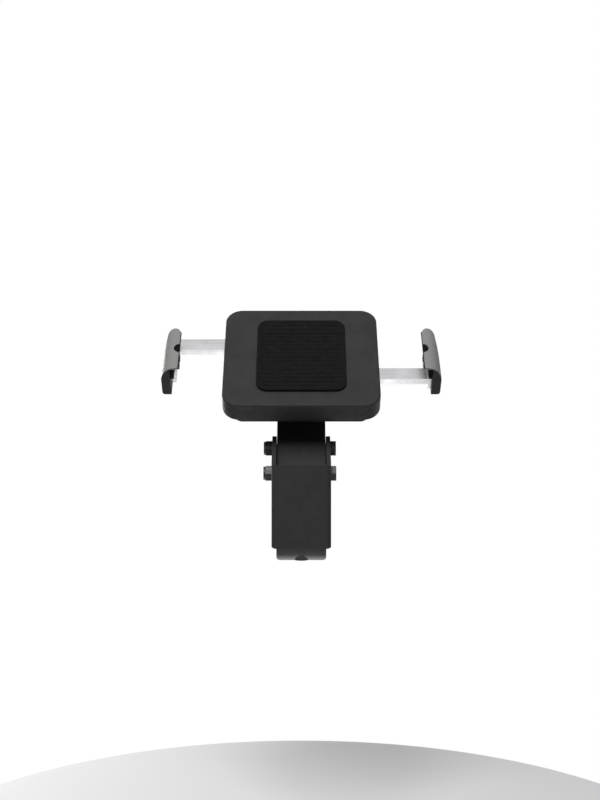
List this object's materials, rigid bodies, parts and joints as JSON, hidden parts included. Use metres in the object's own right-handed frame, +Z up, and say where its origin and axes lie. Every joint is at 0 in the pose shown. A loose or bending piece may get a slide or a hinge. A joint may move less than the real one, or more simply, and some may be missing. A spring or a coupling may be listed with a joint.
{
  "type": "tablet rail mount",
  "caption": "Tablet holder on a rail clamp: sliding side jaws on a rack drive, swivel and tilt joints, and a folded bracket clamped on a round rail by a screw.",
  "frame": {"origin": "centre of the clamped rail, half way along the clamp", "axes": "+X along the rail, -Y towards the user, +Z up"},
  "size_m": [0.1924, 0.0776, 0.1739],
  "materials": {
    "black_steel": "fine matt black powder coat on folded steel",
    "black_cast": "matt black coat on a casting",
    "black_nylon": "fine-grained moulded black plastic",
    "black_rubber": "soft matt black rubber",
    "black_screws": "black oxide steel",
    "bright_steel": "plain machined steel",
    "lock_chrome": "satin nickel plate",
    "silver_jaw": "satin silver-grey coat"
  },
  "bodies": {
    "bracket": {"rail_bracket": "black_steel", "upper_jaw_block": "black_nylon", "upper_jaw_liner": "black_rubber", "upper_jaw_screws": "black_screws", "threaded_insert": "bright_steel", "neck": "black_steel", "neck_bolts": "black_screws", "neck_nuts": "black_screws", "tilt_bolt": "black_screws", "tilt_nut": "black_screws", "tilt_washers": "black_nylon"},
    "lower_jaw": {"lower_jaw": "black_cast", "lower_jaw_pad": "black_rubber"},
    "clamp_screw": {"clamp_screw": "black_screws"},
    "tilt_head": {"tilt_head": "black_cast", "swivel_washer": "black_nylon", "swivel_bolt": "black_screws", "swivel_flat_washer": "bright_steel"},
    "holder": {"mounting_plate": "black_steel", "plate_screws": "black_screws", "rear_cover": "black_nylon", "front_cover": "black_nylon", "cover_screws": "black_screws", "back_pad": "black_rubber", "pinion_axle": "bright_steel", "lock_barrel": "lock_chrome"},
    "pinion": {"pinion": "bright_steel"},
    "right_arm": {"right_arm": "bright_steel", "right_jaw_core": "black_nylon", "right_jaw_shell": "silver_jaw", "right_jaw_grip": "black_rubber", "right_jaw_screws": "black_screws"},
    "left_arm": {"left_arm": "bright_steel", "left_jaw_core": "black_nylon", "left_jaw_shell": "silver_jaw", "left_jaw_grip": "black_rubber", "left_jaw_screws": "black_screws"},
    "lock": {"lock_plug": "lock_chrome", "lock_cam": "bright_steel"}
  },
  "joints": [
    {"name": "lower_jaw_slide", "type": "slide", "parent": "bracket", "child": "lower_jaw", "axis": [0, 0, 1], "range_m": [-0.012, 0]},
    {"name": "clamp_screw_turn", "type": "hinge", "parent": "lower_jaw", "child": "clamp_screw", "pos_m": [0, -0.0157, -0.027], "axis": [0, 0, 1], "range_deg": [-4320, 0]},
    {"name": "tilt", "type": "hinge", "parent": "bracket", "child": "tilt_head", "pos_m": [0, 0.034, 0.081], "axis": [1, 0, 0], "range_deg": [-40, 12]},
    {"name": "swivel", "type": "hinge", "parent": "tilt_head", "child": "holder", "pos_m": [0, 0.00379, 0.11018], "axis": [0, -0.7193, 0.6947], "range_deg": [-90, 90]},
    {"name": "right_arm_slide", "type": "slide", "parent": "holder", "child": "right_arm", "axis": [1, 0, 0], "range_m": [-0.028, 0.01]},
    {"name": "left_arm_slide", "type": "slide", "parent": "holder", "child": "left_arm", "axis": [-1, 0, 0], "range_m": [-0.028, 0.01]},
    {"name": "pinion_spin", "type": "hinge", "parent": "holder", "child": "pinion", "pos_m": [0, 0.00882, 0.10531], "axis": [0, -0.7193, 0.6947], "range_deg": [-201, 72]},
    {"name": "lock_turn", "type": "hinge", "parent": "holder", "child": "lock", "pos_m": [0.028, -0.00847, 0.08309], "axis": [0, -0.7193, 0.6947], "range_deg": [0, 90]}
  ],
  "couplings": [
    {"joint": "clamp_screw_turn", "follows": "lower_jaw_slide", "rad_per_m": 6283.2},
    {"joint": "left_arm_slide", "follows": "right_arm_slide", "ratio": 1},
    {"joint": "pinion_spin", "follows": "right_arm_slide", "rad_per_m": 125}
  ]
}
